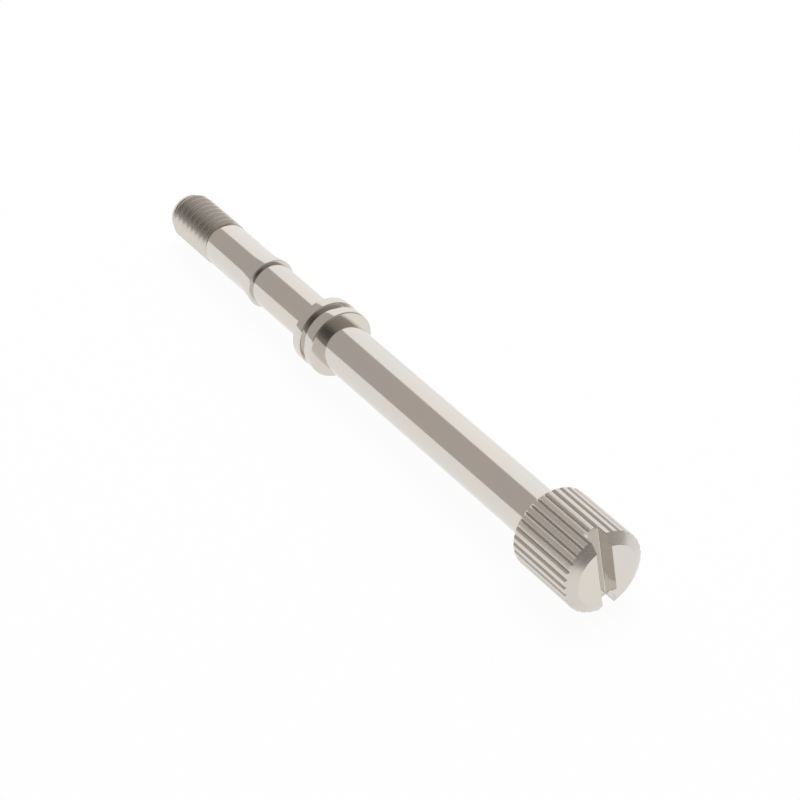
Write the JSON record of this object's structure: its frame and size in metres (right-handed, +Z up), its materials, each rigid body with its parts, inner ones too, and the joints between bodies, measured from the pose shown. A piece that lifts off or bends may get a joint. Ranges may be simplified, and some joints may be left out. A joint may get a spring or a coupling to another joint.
{
  "type": "jackscrew",
  "caption": "Slender plated jackscrew with a threaded tip, snap-in barb, paired retaining flanges, long plain shank and a knurled, slotted thumb head.",
  "frame": {"origin": "on the screw's axis, in the bearing face of the front flange, where the captive neck ends", "axes": "+X along the axis towards the knurled head, -X towards the threaded tip; the screw lies on its side with +Z up"},
  "size_m": [0.0443, 0.005, 0.005],
  "materials": {
    "nickel_plate": "warm satin nickel plate over fine turning marks"
  },
  "bodies": {
    "root": {"jackscrew": "nickel_plate"}
  },
  "joints": []
}
